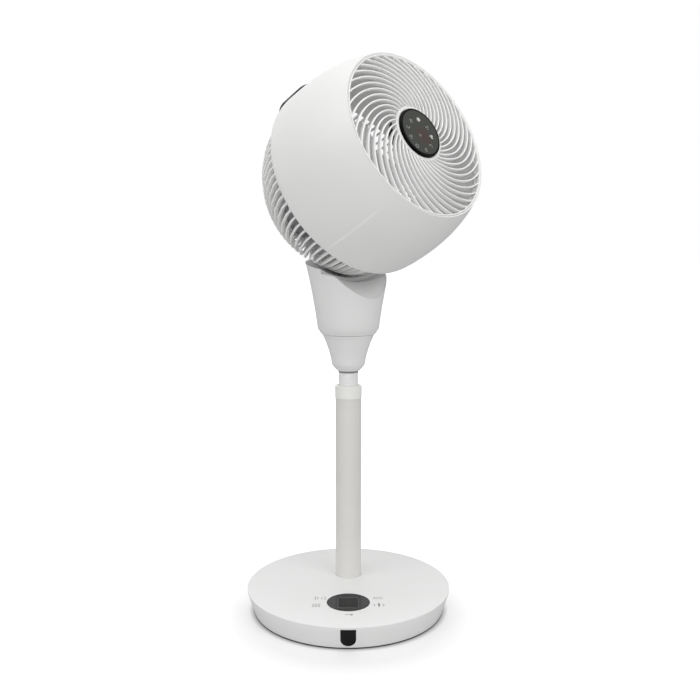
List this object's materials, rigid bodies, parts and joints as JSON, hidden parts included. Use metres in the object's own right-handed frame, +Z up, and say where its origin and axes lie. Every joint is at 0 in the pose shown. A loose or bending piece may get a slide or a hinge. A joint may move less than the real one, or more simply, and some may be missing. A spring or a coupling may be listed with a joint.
{
  "type": "pedestal air circulator fan",
  "caption": "Round-based telescopic pedestal fan whose barrel head pans and tilts on a toothed track, with spiral front grille, domed rear grille and carrying handle.",
  "frame": {"origin": "middle of the round base's footprint, at the bottom of the rubber feet on the floor", "axes": "+Z up; -Y the side of the base with the touch controls and display; +X to the right seen from that side"},
  "size_m": [0.3702, 0.3422, 0.8722],
  "materials": {
    "white_shell": "smooth satin white plastic shell",
    "grille_white": "satin white moulded ribs",
    "neck_shell": "satin white plastic shell, slightly darker",
    "column_paint": "satin warm white painted steel tube",
    "column_trim": "satin plastic collar",
    "inner_tube": "satin light grey painted tube",
    "duct_grey": "matt light grey plastic duct",
    "impeller_grey": "satin light grey plastic blades",
    "dark_plate": "matt black plastic plate",
    "black_part": "matt black plastic",
    "display_lens": "glossy dark tinted lens",
    "infrared_window": "glossy black window",
    "panel_glass": "satin dark grey touch panel",
    "foot_rubber": "matt black rubber pad",
    "grip_rubber": "matt dark grip insert",
    "seal_rubber": "matt black ring",
    "zinc_steel": "zinc plated steel",
    "ballast_iron": "rough cast iron",
    "circuit_board": "green circuit board",
    "bearing_plastic": "natural low-friction plastic",
    "gear_plastic": "natural gear plastic",
    "frame_plastic": "dark grey structural plastic",
    "track_plastic": "satin light grey plastic track",
    "motor_can": "drawn steel motor housing"
  },
  "bodies": {
    "base": {"base_cover": "white_shell", "base_plate": "dark_plate", "rubber_feet": "foot_rubber", "base_screws": "zinc_steel", "ballast_weight": "ballast_iron", "control_board": "circuit_board", "display_module": "black_part", "display_lens": "display_lens", "ir_window": "infrared_window", "ir_receiver": "black_part", "power_inlet": "black_part", "column_foot": "ballast_iron", "column_bolts": "zinc_steel", "outer_column": "column_paint", "guide_bush": "bearing_plastic", "column_collar": "column_trim"},
    "lift": {"inner_column": "inner_tube", "glide_ring": "bearing_plastic", "seal_ring": "seal_rubber", "neck_base": "neck_shell", "pan_spindle": "zinc_steel", "sun_gear": "gear_plastic", "thrust_washer": "bearing_plastic", "spindle_clip": "zinc_steel"},
    "neck": {"neck_housing": "neck_shell", "neck_cradle": "neck_shell", "neck_chassis": "frame_plastic", "pan_bearing": "bearing_plastic", "pan_motor": "motor_can", "tilt_carriage": "frame_plastic", "tilt_motor": "motor_can"},
    "pan_pinion": {"pan_pinion": "gear_plastic"},
    "tilt_pinion": {"tilt_pinion": "gear_plastic"},
    "tilt_motor_gear": {"tilt_motor_gear": "gear_plastic"},
    "head": {"shroud": "white_shell", "front_grille": "grille_white", "air_duct": "duct_grey", "rear_grille": "grille_white", "tilt_track": "track_plastic", "motor_mount": "frame_plastic", "fan_motor": "motor_can", "panel_housing": "black_part", "panel_board": "circuit_board", "control_panel": "panel_glass", "carry_handle": "white_shell", "handle_grip": "grip_rubber"},
    "impeller": {"impeller": "impeller_grey", "motor_shaft": "zinc_steel", "impeller_nut": "black_part"}
  },
  "joints": [
    {"name": "column_lift", "type": "slide", "parent": "base", "child": "lift", "axis": [0, 0, 1], "range_m": [0, 0.215]},
    {"name": "neck_pan", "type": "hinge", "parent": "lift", "child": "neck", "pos_m": [0, 0.041, 0.446], "axis": [0, 0, 1], "range_deg": [-103.8, 16.2]},
    {"name": "pan_pinion_spin", "type": "hinge", "parent": "neck", "child": "pan_pinion", "pos_m": [-0.02169, 0.0202, 0.446], "axis": [0, 0, 1], "range_deg": [-420, 70]},
    {"name": "head_tilt", "type": "hinge", "parent": "neck", "child": "head", "pos_m": [0.0146, 0.02577, 0.6932], "axis": [-0.7218, -0.6921, 0], "range_deg": [-24.3, 65.7]},
    {"name": "tilt_pinion_spin", "type": "hinge", "parent": "neck", "child": "tilt_pinion", "pos_m": [-0.01575, 0.05742, 0.54026], "axis": [-0.7218, -0.6921, 0], "range_deg": [-1100, 410]},
    {"name": "tilt_motor_spin", "type": "hinge", "parent": "neck", "child": "tilt_motor_gear", "pos_m": [-0.0192, 0.06102, 0.52286], "axis": [-0.7218, -0.6921, 0], "range_deg": [-410, 1100]},
    {"name": "impeller_spin", "type": "hinge", "parent": "head", "child": "impeller", "pos_m": [0.0146, 0.02577, 0.6932], "axis": [0.6308, -0.6578, 0.4115], "continuous": true}
  ],
  "couplings": [
    {"joint": "pan_pinion_spin", "follows": "neck_pan", "ratio": 4},
    {"joint": "tilt_pinion_spin", "follows": "head_tilt", "ratio": -16.667},
    {"joint": "tilt_motor_spin", "follows": "head_tilt", "ratio": 16.667}
  ]
}
